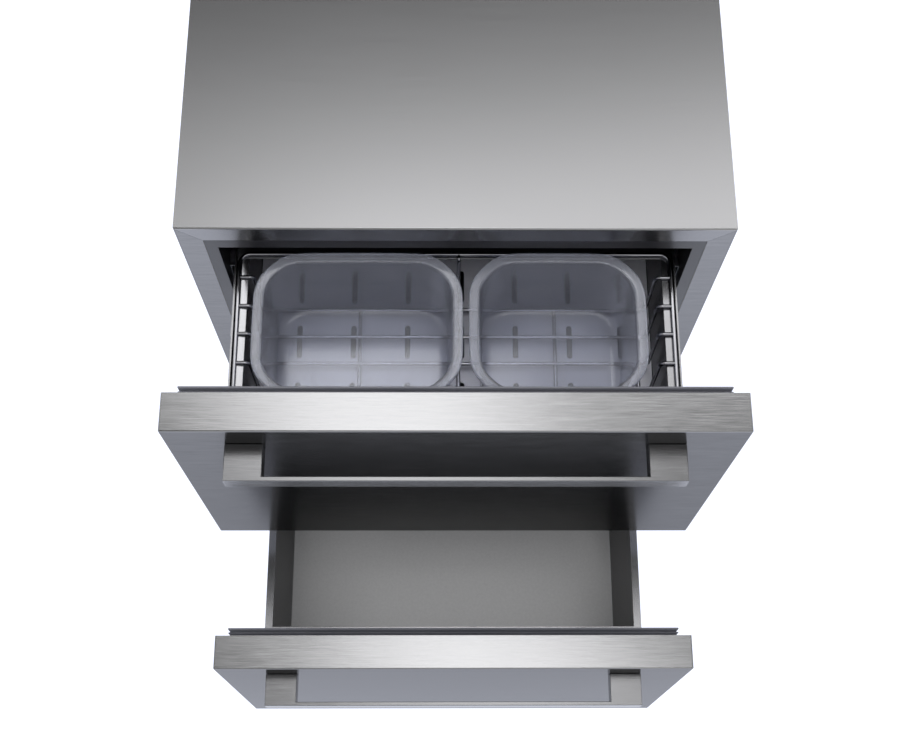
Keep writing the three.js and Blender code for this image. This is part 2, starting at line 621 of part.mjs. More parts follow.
// -------------------------------------------------------------------- bins
function bin(name, x0, x1) {
  const y0 = -170.2, y1 = -0.8, top = 810, low = 691.6;
  const ring = (inset, r, z, bow) => roundRing(x0 + inset, x1 - inset, y0 + inset, y1 - inset, r, z, bow);
  const rings = [
    ring(22, 26, low, 0), ring(18, 30, low + 1.2, 0.4), ring(14, 34, low + 3.6, 0.8),
    ring(9.5, 40, top - 3.4, 1.6), ring(0.4, 49, top - 3.4, 2), ring(0, 50, top - 2.4, 2),
    ring(0.2, 50, top - 0.4, 2), ring(0.8, 49, top, 2), ring(10.6, 39.5, top, 1.6), ring(11.6, 38.5, top - 1.4, 1.5),
    ring(16, 32, low + 4.9, 0.8), ring(19, 29, low + 3, 0.4), ring(23, 25, low + 2.2, 0),
  ];
  add(name, geometryOf(solidOf(loft(rings))), { ...binGrey, opacity: 0.7 });
}
bin('bin_left', -220.4, 6.2);
bin('bin_right', 16.4, 207.4);

// --------------------------------------------------------------- lower tub
{
  const { y0, y1, z0, rim, in: hw, skirt } = LO_TUB;
  const w = TUB_HW - hw;
  let tub = box(-TUB_HW, TUB_HW, y0, y1, skirt, rim);
  tub = tub.subtract(hole(-TUB_HW + T, TUB_HW - T, y0 + T, y1 - T, skirt - 5, rim - T));
  tub = tub.subtract(hole(-hw, hw, y0 + w, y1 - w, skirt - 5, rim + 5));
  const well = cut(box(-hw - T, hw + T, y0 + w - T, y1 - w + T, z0, rim - 0.5),
    hole(-hw, hw, y0 + w, y1 - w, z0 + T, rim + 5));
  add('lower_drawer_tub', join(tub, well), steel);
}

// -------------------------------------------- stood on the middle of its box
{
  group.updateMatrixWorld(true);
  const b = new THREE.Box3().setFromObject(group);
  const dy = -(b.min.y + b.max.y) / 2;
  for (const mesh of group.children) mesh.geometry.translate(0, dy, 0);
  group.userData.shift_y = dy;
}

export default group;
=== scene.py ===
import json
import math

import bmesh
import bpy
from mathutils import Matrix, Vector

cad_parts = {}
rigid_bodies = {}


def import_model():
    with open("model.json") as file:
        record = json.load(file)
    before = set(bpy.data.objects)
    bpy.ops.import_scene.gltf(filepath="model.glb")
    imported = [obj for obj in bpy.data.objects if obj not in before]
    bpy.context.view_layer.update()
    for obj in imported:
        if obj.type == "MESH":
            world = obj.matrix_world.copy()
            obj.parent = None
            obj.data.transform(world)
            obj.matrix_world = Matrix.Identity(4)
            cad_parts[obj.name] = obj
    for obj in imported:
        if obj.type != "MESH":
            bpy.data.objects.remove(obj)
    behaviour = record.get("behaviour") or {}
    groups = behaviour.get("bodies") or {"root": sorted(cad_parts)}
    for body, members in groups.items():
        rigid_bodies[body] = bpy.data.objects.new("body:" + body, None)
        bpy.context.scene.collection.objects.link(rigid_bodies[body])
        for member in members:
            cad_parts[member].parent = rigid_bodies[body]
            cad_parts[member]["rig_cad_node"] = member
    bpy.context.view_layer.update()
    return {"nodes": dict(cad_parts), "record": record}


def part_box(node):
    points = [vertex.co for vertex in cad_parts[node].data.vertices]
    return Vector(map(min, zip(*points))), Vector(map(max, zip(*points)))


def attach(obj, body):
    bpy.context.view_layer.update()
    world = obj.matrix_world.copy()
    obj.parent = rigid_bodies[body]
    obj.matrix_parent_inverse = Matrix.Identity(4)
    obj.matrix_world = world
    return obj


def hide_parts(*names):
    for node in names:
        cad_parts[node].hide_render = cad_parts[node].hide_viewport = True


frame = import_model()
nodes = frame["nodes"]
record = frame["record"]

# The front plane of the cabinet. Depths below are measured from it in mm.
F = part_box("top_panel")[0].y
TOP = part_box("top_panel")[1].z


def P(x, y, z):
    """A point given in mm, y from the cabinet's front plane."""
    return Vector((x / 1000.0, F + y / 1000.0, z / 1000.0))


def mm(node):
    """A CAD node's box in mm, y from the cabinet's front plane."""
    lo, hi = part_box(node)
    return (lo.x * 1000, hi.x * 1000, (lo.y - F) * 1000, (hi.y - F) * 1000, lo.z * 1000, hi.z * 1000)


# ---------------------------------------------------------------- materials
def new_material(name):
    m = bpy.data.materials.new(name)
    m.use_nodes = True
    nt = m.node_tree
    bsdf = nt.nodes["Principled BSDF"]
    return m, nt, bsdf


def link(nt, a, b):
    nt.links.new(a, b)


def math_node(nt, op, a, b=None):
    n = nt.nodes.new("ShaderNodeMath")
    n.operation = op
    for i, v in enumerate((a, b)):
        if v is None:
            continue
        if isinstance(v, (int, float)):
            n.inputs[i].default_value = v
        else:
            link(nt, v, n.inputs[i])
    return n.outputs[0]


def ramp(nt, fac, stops):
    n = nt.nodes.new("ShaderNodeValToRGB")
    els = n.color_ramp.elements
    while len(els) > 1:
        els.remove(els[-1])
    els[0].position = stops[0][0]
    els[0].color = (*stops[0][1], 1) if not isinstance(stops[0][1], (int, float)) else (stops[0][1],) * 3 + (1,)
    for pos, col in stops[1:]:
        e = els.new(pos)
        e.color = (*col, 1) if not isinstance(col, (int, float)) else (col,) * 3 + (1,)
    link(nt, fac, n.inputs["Fac"])
    return n.outputs["Color"]


def noise(nt, vector, scale, detail=3.0, rough=0.55):
    n = nt.nodes.new("ShaderNodeTexNoise")
    n.inputs["Scale"].default_value = scale
    n.inputs["Detail"].default_value = detail
    n.inputs["Roughness"].default_value = rough
    link(nt, vector, n.inputs["Vector"])
    return n.outputs["Fac"]


def object_vector(nt):
    return nt.nodes.new("ShaderNodeTexCoord").outputs["Object"]


def grain_vector(nt, along, across, grain="auto"):
    """Object coordinates stretched along the sheet's grain."""
    tc = nt.nodes.new("ShaderNodeTexCoord")
    sep = nt.nodes.new("ShaderNodeSeparateXYZ")
    link(nt, tc.outputs["Object"], sep.inputs[0])
    x, y, z = sep.outputs
    if grain == "auto":
        nrm = nt.nodes.new("ShaderNodeSeparateXYZ")
        link(nt, tc.outputs["Normal"], nrm.inputs[0])
        side = math_node(nt, "GREATER_THAN", math_node(nt, "ABSOLUTE", nrm.outputs[0]), 0.75)
        keep = math_node(nt, "SUBTRACT", 1.0, side)
        u = math_node(nt, "ADD", math_node(nt, "MULTIPLY", x, keep), math_node(nt, "MULTIPLY", y, side))
        v = math_node(nt, "ADD", math_node(nt, "MULTIPLY", y, keep), math_node(nt, "MULTIPLY", x, side))
        w = z
    elif grain == "x":
        u, v, w = x, y, z
    elif grain == "y":
        u, v, w = y, x, z
    else:
        u, v, w = z, x, y
    comb = nt.nodes.new("ShaderNodeCombineXYZ")
    link(nt, math_node(nt, "MULTIPLY", u, along), comb.inputs[0])
    link(nt, math_node(nt, "MULTIPLY", v, across), comb.inputs[1])
    link(nt, math_node(nt, "MULTIPLY", w, across), comb.inputs[2])
    return comb.outputs[0]


def bump(nt, bsdf, height, strength, distance):
    b = nt.nodes.new("ShaderNodeBump")
    b.inputs["Strength"].default_value = strength
    b.inputs["Distance"].default_value = distance
    link(nt, height, b.inputs["Height"])
    link(nt, b.outputs[0], bsdf.inputs["Normal"])


def mix_range(nt, fac, low, high):
    n = nt.nodes.new("ShaderNodeMapRange")
    n.inputs["To Min"].default_value = low
    n.inputs["To Max"].default_value = high
    link(nt, fac, n.inputs["Value"])
    return n.outputs["Result"]


def brushed(name, color, rough=(0.22, 0.34), along=14.0, across=520.0, grain="auto",
            depth=0.00010, strength=0.35, tone=0.05, edge=0.38):
    """Brushed sheet: fine streaks in gloss, tone and relief, with a slow drift."""
    m, nt, bsdf = new_material(name)
    vec = grain_vector(nt, along, across, grain)
    fine = noise(nt, vec, 1.0, 3.0, 0.6)
    slow = noise(nt, object_vector(nt), 5.0, 2.0, 0.5)
    streak = noise(nt, grain_vector(nt, along * 0.8, across * 0.34, grain), 1.0, 2.0, 0.5)
    both = math_node(nt, "ADD", math_node(nt, "MULTIPLY", fine, 0.6), math_node(nt, "MULTIPLY", streak, 0.4))
    r = mix_range(nt, math_node(nt, "ADD", math_node(nt, "MULTIPLY", both, 0.8),
                                math_node(nt, "MULTIPLY", slow, 0.2)), rough[0], rough[1])
    link(nt, r, bsdf.inputs["Roughness"])
    lo = tuple(c * (1 - tone) for c in color)
    hi = tuple(min(1.0, c * (1 + tone)) for c in color)
    link(nt, ramp(nt, both, [(0.30, lo), (0.70, hi)]), bsdf.inputs["Base Color"])
    bsdf.inputs["Metallic"].default_value = 1.0
    bsdf.inputs["Specular Tint"].default_value = (edge, edge, edge, 1)
    bump(nt, bsdf, both, strength, depth)
    return m


def plain(name, color, rough=0.5, metallic=0.0, scale=400.0, depth=0.00006, strength=0.3,
          tone=0.08, **extra):
    """A moulded or painted surface: fine texture, slight unevenness of tone and gloss."""
    m, nt, bsdf = new_material(name)
    vec = object_vector(nt)
    fine = noise(nt, vec, scale, 3.0, 0.6)
    slow = noise(nt, vec, 9.0, 3.0, 0.5)
    lo = tuple(c * (1 - tone) for c in color)
    hi = tuple(min(1.0, c * (1 + tone)) for c in color)
    link(nt, ramp(nt, slow, [(0.35, lo), (0.65, hi)]), bsdf.inputs["Base Color"])
    link(nt, mix_range(nt, slow, rough - 0.05, rough + 0.06), bsdf.inputs["Roughness"])
    bsdf.inputs["Metallic"].default_value = metallic
    for key, value in extra.items():
        bsdf.inputs[key].default_value = value
    bump(nt, bsdf, fine, strength, depth)
    return m


def galvanised(name):
    m, nt, bsdf = new_material(name)
    v = nt.nodes.new("ShaderNodeTexVoronoi")
    v.inputs["Scale"].default_value = 105.0
    link(nt, object_vector(nt), v.inputs["Vector"])
    sep = nt.nodes.new("ShaderNodeSeparateColor")
    link(nt, v.outputs["Color"], sep.inputs[0])
    link(nt, ramp(nt, sep.outputs[0], [(0.0, (0.40, 0.41, 0.43)), (1.0, (0.49, 0.50, 0.52))]),
         bsdf.inputs["Base Color"])
    link(nt, mix_range(nt, sep.outputs[1], 0.34, 0.52), bsdf.inputs["Roughness"])
    bsdf.inputs["Metallic"].default_value = 1.0
    bump(nt, bsdf, noise(nt, object_vector(nt), 300.0), 0.2, 0.00005)
    return m


def translucent(name):
    m, nt, bsdf = new_material(name)
    vec = object_vector(nt)
    slow = noise(nt, vec, 14.0, 3.0, 0.5)
    link(nt, ramp(nt, slow, [(0.3, (0.60, 0.62, 0.70)), (0.7, (0.66, 0.68, 0.76))]), bsdf.inputs["Base Color"])
    link(nt, mix_range(nt, slow, 0.09, 0.16), bsdf.inputs["Roughness"])
    bsdf.inputs["Transmission Weight"].default_value = 0.84
    bsdf.inputs["IOR"].default_value = 1.45
    bump(nt, bsdf, noise(nt, vec, 90.0), 0.10, 0.00004)
    return m


STEEL = brushed("stainless_brushed", (0.296, 0.296, 0.298), rough=(0.11, 0.27), along=30.0, across=560.0,
                depth=0.00015, strength=0.6, tone=0.10)
# painted shade: the handle steel has a darker base colour than the fronts' steel, standing in for the darker
# reflections on the handle brackets
STEEL_HANDLE_SHADED = brushed("stainless_handle_shaded", (0.215, 0.215, 0.218), rough=(0.16, 0.30), along=30.0, across=560.0,
                       depth=0.00015, strength=0.6, tone=0.12, edge=0.9)
STEEL_TOP = brushed("stainless_top", (0.34, 0.34, 0.343), rough=(0.20, 0.27), along=10.0, across=900.0,
                    strength=0.12, depth=0.00006, tone=0.02)
STEEL_TUB = brushed("stainless_tub", (0.36, 0.36, 0.37), rough=(0.20, 0.28), along=9.0, across=420.0,
                    strength=0.15, depth=0.00006, tone=0.03)


def painted_lit_floor(m, color, rough):
    """Painted light: up-facing faces low down (below 0.2 m, the lower tub's floor) get a lighter, less metallic colour
    than the tub's walls, standing in for the light falling on the floor.
    """
    nt = m.node_tree
    bsdf = nt.nodes["Principled BSDF"]
    tc = nt.nodes.new("ShaderNodeTexCoord")
    nz = nt.nodes.new("ShaderNodeSeparateXYZ")
    link(nt, tc.outputs["Normal"], nz.inputs[0])
    pz = nt.nodes.new("ShaderNodeSeparateXYZ")
    link(nt, tc.outputs["Object"], pz.inputs[0])
    # painted light mask: up-facing faces low down, which is the lower tub's floor
    up = math_node(nt, "GREATER_THAN", nz.outputs[2], 0.7)
    low = math_node(nt, "LESS_THAN", pz.outputs[2], 0.20)
    fac = math_node(nt, "MULTIPLY", up, low)
    grain = noise(nt, object_vector(nt), 260.0, 3.0, 0.6)
    painted_light_colour = ramp(nt, grain, [(0.3, tuple(c * 0.94 for c in color)), (0.7, color)])
    for socket, value in (("Base Color", painted_light_colour), ("Roughness", None)):
        old = bsdf.inputs[socket].links[0].from_socket
        mix = nt.nodes.new("ShaderNodeMix")
        mix.data_type = "RGBA" if socket == "Base Color" else "FLOAT"
        a, b2, out = (6, 7, 2) if socket == "Base Color" else (2, 3, 0)
        link(nt, fac, mix.inputs[0])
        link(nt, old, mix.inputs[a])
        if value is not None:
            link(nt, value, mix.inputs[b2])
        else:
            mix.inputs[b2].default_value = rough
        link(nt, mix.outputs[out], bsdf.inputs[socket])
    metal = math_node(nt, "SUBTRACT", 1.0, math_node(nt, "MULTIPLY", fac, 0.75))
    link(nt, metal, bsdf.inputs["Metallic"])


# painted light on the lower tub's floor: a lighter, less metallic colour than its walls
painted_lit_floor(STEEL_TUB, (0.80, 0.80, 0.80), 0.5)
TRAY = brushed("tray_satin", (0.74, 0.74, 0.79), rough=(0.30, 0.40), across=300.0, tone=0.03)
TRAY.node_tree.nodes["Principled BSDF"].inputs["Metallic"].default_value = 0.2
STEEL_DULL = brushed("stainless_satin", (0.55, 0.55, 0.60), rough=(0.34, 0.46), across=300.0)
MATS = {
    "stainless": STEEL,
    "stainless_dull": STEEL_DULL,
    "galvanised": galvanised("zinc_plated_sheet"),
    "liner_dark": plain("liner_dark", (0.018, 0.018, 0.021), 0.33, scale=600.0),
    "foam": plain("rigid_foam", (0.62, 0.53, 0.28), 0.85, scale=160.0, depth=0.0006),
    "black_metal": plain("black_enamel", (0.018, 0.018, 0.02), 0.3, scale=260.0, depth=0.0001),
    "fin_aluminium": brushed("fin_aluminium", (0.62, 0.63, 0.65), rough=(0.3, 0.45), grain="z", across=900.0),
    "copper_line": brushed("copper_tube", (0.62, 0.30, 0.17), rough=(0.22, 0.36), across=200.0),
    "black_plastic": plain("black_plastic", (0.022, 0.022, 0.024), 0.42, scale=700.0),
    "gasket": plain("gasket_vinyl", (0.155, 0.158, 0.180), 0.42, scale=500.0),
    "chrome_wire": brushed("chrome_wire", (0.40, 0.40, 0.42), rough=(0.08, 0.15), across=120.0,
                           strength=0.08, tone=0.02),
    "bin_plastic": translucent("bin_translucent"),
    "foot_rubber": plain("foot_rubber", (0.02, 0.02, 0.02), 0.7, scale=350.0, depth=0.0002),
}
SLOT_OF = {s["node"]: s["material_slot"] for s in record["subparts"]}


def even_normals(o):
    w = o.modifiers.new("even_normals", "WEIGHTED_NORMAL")
    w.mode = "FACE_AREA_WITH_ANGLE"
    w.weight = 100
    w.keep_sharp = True


def dress(o, material):
    o.data.materials.clear()
    o.data.materials.append(material)


# --------------------------------------------------- CAD nodes carried over
THICK = {"upper_handle": 0.0007, "lower_handle": 0.0007, "slotted_tray": 0.0003,
         "compressor": 0.0012, "control_box": 0.0008, "drain_pan": 0.0006}
for name, o in nodes.items():
    slot = SLOT_OF[name]
    dress(o, MATS[slot])
    weld = o.modifiers.new("weld", "WELD")
    weld.merge_threshold = 0.00002
    flat = o.modifiers.new("flat", "DECIMATE")
    flat.decimate_type = "DISSOLVE"
    flat.angle_limit = math.radians(1.0)
    if name in ("compressor", "evaporator_fan", "condenser_fan", "refrigerant_lines") or name.startswith("foot_"):
        for p in o.data.polygons:
            p.use_smooth = True
    bev = o.modifiers.new("bevel", "BEVEL")
    bev.width = THICK.get(name, 0.0004)
    bev.segments = 2
    bev.limit_method = "ANGLE"
    bev.angle_limit = math.radians(40)
    bev.use_clamp_overlap = True
    bev.harden_normals = False
for n in ("top_panel",):
    dress(nodes[n], STEEL_TOP)
for n in ("upper_drawer_tub", "lower_drawer_tub"):
    dress(nodes[n], STEEL_TUB)
# the handles take the darker steel that carries the painted shade
for n in ("upper_handle", "lower_handle"):
    dress(nodes[n], STEEL_HANDLE_SHADED)


# ------------------------------------------------------------ mesh helpers
def mesh_object(name, verts, faces, material, body, smooth=None):
    me = bpy.data.meshes.new(name)
    me.from_pydata([tuple(v) for v in verts], [], faces)
    me.validate()
    bm = bmesh.new()
    bm.from_mesh(me)
    bmesh.ops.remove_doubles(bm, verts=bm.verts, dist=1e-6)
    bmesh.ops.recalc_face_normals(bm, faces=bm.faces)
    bm.to_mesh(me)
    bm.free()
    o = bpy.data.objects.new(name, me)
    bpy.context.scene.collection.objects.link(o)
    dress(o, material)
    if smooth is not None:
        for p in me.polygons:
            p.use_smooth = True
        try:
            me.set_sharp_from_angle(angle=math.radians(smooth))
        except Exception:
            pass
    if body:
        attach(o, body)
    return o


class Build:
    """Collects pieces of one mesh."""

    def __init__(self):
        self.v, self.f = [], []

    def add(self, verts, faces):
        n = len(self.v)
        self.v += [tuple(v) for v in verts]
        self.f += [tuple(i + n for i in f) for f in faces]

    def rings(self, rings, closed=False, caps=True):
        n = len(rings[0])
        verts = [p for r in rings for p in r]
        faces = []
        last = len(rings) if closed else len(rings) - 1
        for i in range(last):
            a, b = i * n, ((i + 1) % len(rings)) * n
            for j in range(n):
                k = (j + 1) % n
                faces.append((a + j, a + k, b + k, b + j))
        if not closed and caps:
            faces.append(tuple(range(n - 1, -1, -1)))
            b = (len(rings) - 1) * n
            faces.append(tuple(b + j for j in range(n)))
        self.add(verts, faces)

    def box(self, x0, x1, y0, y1, z0, z1, r=0.5, seg=2):
        """A box in mm with rounded edges."""
        bm = bmesh.new()
        bmesh.ops.create_cube(bm, size=1.0)
        for v in bm.verts:
            v.co = P((x0 + x1) / 2 + v.co.x * (x1 - x0), (y0 + y1) / 2 + v.co.y * (y1 - y0),
                     (z0 + z1) / 2 + v.co.z * (z1 - z0))
        r = min(r, 0.45 * min(x1 - x0, y1 - y0, z1 - z0))
        if r > 0:
            bmesh.ops.bevel(bm, geom=bm.edges[:], offset=r / 1000.0, segments=seg, affect="EDGES", profile=0.5)
        self.take(bm)

    def take(self, bm):
        bm.verts.ensure_lookup_table()
        bm.verts.index_update()
        self.add([v.co.copy() for v in bm.verts], [tuple(v.index for v in f.verts) for f in bm.faces])
        bm.free()

    def screw(self, centre, axis, r=4.0, h=1.8, slot=True):
        """A pan head with a cross recess, axis is a unit vector pointing out."""
        a = Vector(axis)
        u = a.orthogonal().normalized()
        w = a.cross(u)
        c = Vector(centre)
        n = 20
        prof = [(0.0, 0.0), (1.0, 0.0), (1.0, 0.35), (0.93, 0.62), (0.75, 0.85), (0.5, 0.96), (0.3, 1.0)]
        rings = []
        for (q, t) in prof[1:]:
            rings.append([c + a * (t * h / 1000) + (u * math.cos(2 * math.pi * k / n) + w * math.sin(2 * math.pi * k / n)) * (q * r / 1000)
                          for k in range(n)])
        # the recess: a cross sunk into the head
        ring = []
        for k in range(n):
            ang = 2 * math.pi * k / n
            arm = max(abs(math.cos(ang)), abs(math.sin(ang)))
            q = 0.26 if arm > 0.93 else 0.10
            ring.append(c + a * (1.0 * h / 1000) + (u * math.cos(ang) + w * math.sin(ang)) * (q * r / 1000))
        rings.append(ring)
        rings.append([p - a * (0.55 * h / 1000) for p in ring])
        self.rings(rings)

    def object(self, name, material, slot, body, smooth=35):
        o = mesh_object(name, self.v, self.f, material, body, smooth)
        even_normals(o)
        return o


def wire_rings(points, r, bend, sides=12, closed=False, steps=6):
    """Rings of a round wire along points in mm, its corners rounded."""
    pts = [Vector(p) for p in points]
    n = len(pts)
    path = []
    for i in range(n):
        if not closed and i in (0, n - 1):
            path.append(pts[i])
            continue
        a, b, c = pts[(i - 1) % n], pts[i], pts[(i + 1) % n]
        u, w = a - b, c - b
        ang = u.angle(w)
        d = min(bend / math.tan(ang / 2) if ang > 0.01 else bend, u.length * 0.49, w.length * 0.49)
        u.normalize()
        w.normalize()
        p0, p2 = b + u * d, b + w * d
        # an arc of a circle from p0 to p2
        rr = d * math.tan(ang / 2)
        bis = (u + w).normalized()
        centre = b + bis * (rr / math.sin(ang / 2))
        s, e = p0 - centre, p2 - centre
        total = s.angle(e)
        axis = s.cross(e).normalized()
        for k in range(steps + 1):
            path.append(centre + Matrix.Rotation(total * k / steps, 3, axis) @ s)
    m = len(path)

    def tangent(i):
        a = path[(i - 1) % m] if closed else path[max(0, i - 1)]
        b = path[(i + 1) % m] if closed else path[min(m - 1, i + 1)]
        return (b - a).normalized()

    t0 = tangent(0)
    normal = t0.orthogonal().normalized()
    rings = []
    for i in range(m):
        t = tangent(i)
        normal = (normal - t * t.dot(normal)).normalized()
        side = t.cross(normal)
        rings.append([P(*(path[i] + side * (r * math.cos(2 * math.pi * k / sides)) + normal * (r * math.sin(2 * math.pi * k / sides))))
                      for k in range(sides)])
    return rings


def rounded_ring(x0, x1, y0, y1, r, z, bow=0.0, seg=9, side=6):
    """A rounded and slightly bowed rectangle, in mm, as points."""
    cx, cy, hx, hy = (x0 + x1) / 2, (y0 + y1) / 2, (x1 - x0) / 2, (y1 - y0) / 2
    out = []
    corners = [(1, 1), (-1, 1), (-1, -1), (1, -1)]
    for q, (sx, sy) in enumerate(corners):
        for k in range(seg + 1):
            a = math.pi / 2 * (q + k / seg)
            out.append([cx + sx * (hx - r) + r * math.cos(a), cy + sy * (hy - r) + r * math.sin(a)])
        nx, ny = corners[(q + 1) % 4]
        a = math.pi / 2 * (q + 1)
        ex, ey = cx + nx * (hx - r) + r * math.cos(a), cy + ny * (hy - r) + r * math.sin(a)
        px, py = out[-1]
        for k in range(1, side):
            t = k / side
            out.append([px + (ex - px) * t, py + (ey - py) * t])
    # the sides bow outwards
    ring = []
    for x, y in out:
        fx, fy = (x - cx) / hx, (y - cy) / hy
        bx = bow * max(0.0, 1 - fy * fy) * (1 if fx > 0.5 else -1 if fx < -0.5 else 0) if abs(fx) > 0.9 else 0
        by = bow * max(0.0, 1 - fx * fx) * (1 if fy > 0.5 else -1 if fy < -0.5 else 0) if abs(fy) > 0.9 else 0
        ring.append(P(x + bx, y + by, z))
    return ring


# --------------------------------------------------------------- sheet work
def bent(name, outline, spans, thickness, material, slot, body, replaces, inward):
    """A bent sheet: outline points are joined along spans, with thickness given by an offset for each point."""
    b = Build()
    outer = [(spans(p)[0], spans(p)[1]) for p in outline]
    inner = [(spans(q)[0], spans(q)[1]) for q in inward]
    n = len(outline)
    verts = [v for pair in outer for v in pair] + [v for pair in inner for v in pair]
    faces = []
    for i in range(n - 1):
        a = 2 * i
        faces.append((a, a + 1, a + 3, a + 2))
        c = 2 * n + 2 * i
        faces.append((c, c + 2, c + 3, c + 1))
    for k in (0, 1):
        for i in range(n - 1):
            a, c = 2 * i + k, 2 * n + 2 * i + k
            faces.append((a, a + 2, c + 2, c))
    faces.append((0, 2 * n, 2 * n + 1, 1))
    e = 2 * (n - 1)
    faces.append((e, e + 1, 2 * n + e + 1, 2 * n + e))
    b.add(verts, faces)
    o = b.object(name, material, slot, body, 30)
    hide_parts(replaces)
    return o


def bend_path(pts, radius, seg=5):
    """Points (u, v) with rounded corners of an outer radius."""
    out = []
    for i, p in enumerate(pts):
        p = Vector(p)
        if i in (0, len(pts) - 1):
            out.append(p)
            continue
        a, c = Vector(pts[i - 1]), Vector(pts[i + 1])
        u, w = (a - p).normalized(), (c - p).normalized()
        ang = u.angle(w)
        d = radius / math.tan(ang / 2)
        p0, p2 = p + u * d, p + w * d
        centre = p + (u + w).normalized() * (radius / math.sin(ang / 2))
        s, e = p0 - centre, p2 - centre
        sign = 1 if s.cross(e) > 0 else -1
        tot = s.angle(e)
        for k in range(seg + 1):
            t = sign * tot * k / seg
            out.append(centre + Vector((s.x * math.cos(t) - s.y * math.sin(t), s.x * math.sin(t) + s.y * math.cos(t))))
    return out


def offset_path(path, d):
    out = []
    for i, p in enumerate(path):
        a = path[max(0, i - 1)]
        c = path[min(len(path) - 1, i + 1)]
        t = (c - a).normalized()
        out.append(p + Vector((-t.y, t.x)) * d)
    return out


x0, x1, y0, y1, z0, z1 = mm("top_panel")
T = 1.2
path = bend_path([(y1, z1), (y0, z1), (y0, z0)], 2.2)


def top_span(p):
    y, z = p
    hw = x1 - max(0.0, (z1 - z)) if y < y0 + 3 else x1
    hw = max(hw, x1 - 28)
    return P(-hw, y, z), P(hw, y, z)


inner = offset_path(path, T)
inner = [Vector((max(q.x, y0 + T) if p.x < y0 + 3 else q.x, q.y)) for p, q in zip(path, inner)]
top = bent("top_panel_formed", path, top_span, T, STEEL_TOP, "stainless", "cabinet", "top_panel", inner)

for s, n in ((-1, "left_side_panel"), (1, "right_side_panel")):
    b0 = mm(n)
    xo = 303.0 * s
    pts = [(xo, b0[3]), (xo, b0[2]), (xo - 28.0 * s, b0[2])]
    path = bend_path(pts, 2.2)
    inner = offset_path(path, T if s < 0 else -T)

    def side_span(p, s=s, b0=b0):
        x, y = p
        across = max(0.0, 303.0 - abs(x))
        ztop = b0[5] if y > b0[2] + 3 else min(b0[5], 870.0 - 0.35 - across)
        return P(x, y, b0[4]), P(x, y, ztop)

    bent(n + "_formed", path, side_span, T, STEEL, "stainless", "cabinet", n, inner)


# ------------------------------------------------------------- drawer fronts
def front_skin(tag):
    n = tag + "_front_skin"
    x0, x1, y0, y1, z0, z1 = mm(n)
    bm = bmesh.new()
    bmesh.ops.create_cube(bm, size=1.0)
    for v in bm.verts:
        v.co = P((x0 + x1) / 2 + v.co.x * (x1 - x0), (y0 + y1) / 2 + v.co.y * (y1 - y0), (z0 + z1) / 2 + v.co.z * (z1 - z0))
    back = max(bm.faces, key=lambda f: f.calc_center_median().y)
    bmesh.ops.delete(bm, geom=[back], context="FACES")
    yb = P(0, y1, 0).y
    edges = [e for e in bm.edges if not all(abs(v.co.y - yb) < 1e-6 for v in e.verts)]
    bmesh.ops.bevel(bm, geom=edges, offset=0.0018, segments=4, affect="EDGES", profile=0.5)
    me = bpy.data.meshes.new(n + "_formed")
    bm.to_mesh(me)
    bm.free()
    o = bpy.data.objects.new(n + "_formed", me)
    bpy.context.scene.collection.objects.link(o)
    dress(o, STEEL)
    for p in me.polygons:
        p.use_smooth = True
    me.set_sharp_from_angle(angle=math.radians(32))
    sol = o.modifiers.new("thick", "SOLIDIFY")
    sol.thickness = 0.0012
    sol.offset = -1
    even_normals(o)
    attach(o, tag + "_drawer")
    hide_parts(n)
    return o


def gasket(tag):
    n = tag + "_gasket"
    x0, x1, y0, y1, z0, z1 = mm(n)
    w = 15.0
    # a double bellows with a magnet bulb at its face
    prof = [(1.0, 0.0), (0.4, 0.05), (0.5, 0.13), (2.2, 0.20), (3.3, 0.28), (2.2, 0.36), (0.5, 0.43), (0.4, 0.49),
            (2.4, 0.57), (3.6, 0.64), (2.2, 0.72), (0.5, 0.79), (0.0, 0.86), (0.0, 0.94), (0.7, 1.0),
            (14.2, 1.0), (15.0, 0.94), (15.0, 0.86), (14.2, 0.79), (12.6, 0.70), (11.4, 0.62), (12.8, 0.52),
            (14.4, 0.44), (12.8, 0.34), (11.8, 0.26), (13.4, 0.16), (14.6, 0.08), (14.0, 0.0)]
    hx, cz, hz = x1, (z0 + z1) / 2, (z1 - z0) / 2
    rings = []
    for sx, sz in ((1, 1), (-1, 1), (-1, -1), (1, -1)):
        rings.append([P(sx * (hx - d), y0 + (y1 - y0) * h, cz + sz * (hz - d)) for d, h in prof])
    b = Build()
    b.rings(rings, closed=True)
    o = b.object(n + "_bellows", MATS["gasket"], "gasket", tag + "_drawer", 60)
    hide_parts(n)
    return o


for tag in ("upper", "lower"):
    front_skin(tag)
    gasket(tag)


# --------------------------------------------------------------- wire basket
def basket():
    x0, x1, y0, y1, z0, z1 = mm("wire_basket")
    rr = 2.5
    z = z1 - rr
    xw, ya, yb = x1 - rr, y0 + rr, y1 - rr
    low = 689.0
    b = Build()
    b.rings(wire_rings([(-xw, ya, z), (xw, ya, z), (xw, yb, z), (-xw, yb, z)], rr, 11, 14, True, 8), closed=True)
    for y in (-154.3, -119.9, -85.4, -51.8, -16.8):
        b.rings(wire_rings([(-xw - 0.4, y, z), (-226, y, z), (-226, y, low), (226, y, low), (226, y, z), (xw + 0.4, y, z)],
                           2.2, 5.5, 12, False, 6))
    b.rings(wire_rings([(4, ya, z), (4, ya + 5.9, z), (4, ya + 5.9, low - 3.6), (4, yb - 7, low - 3.6),
                        (4, yb - 7, z), (4, yb, z)], 2.2, 2.9, 12, False, 6))
    for x in (-215, -112, 118, 215):
        b.rings(wire_rings([(x, -157.5, low - 3.6), (x, -14.5, low - 3.6)], 2.2, 1, 12))
    o = b.object("wire_basket_round", MATS["chrome_wire"], "chrome_wire", "upper_drawer", 50)
    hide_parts("wire_basket")


basket()


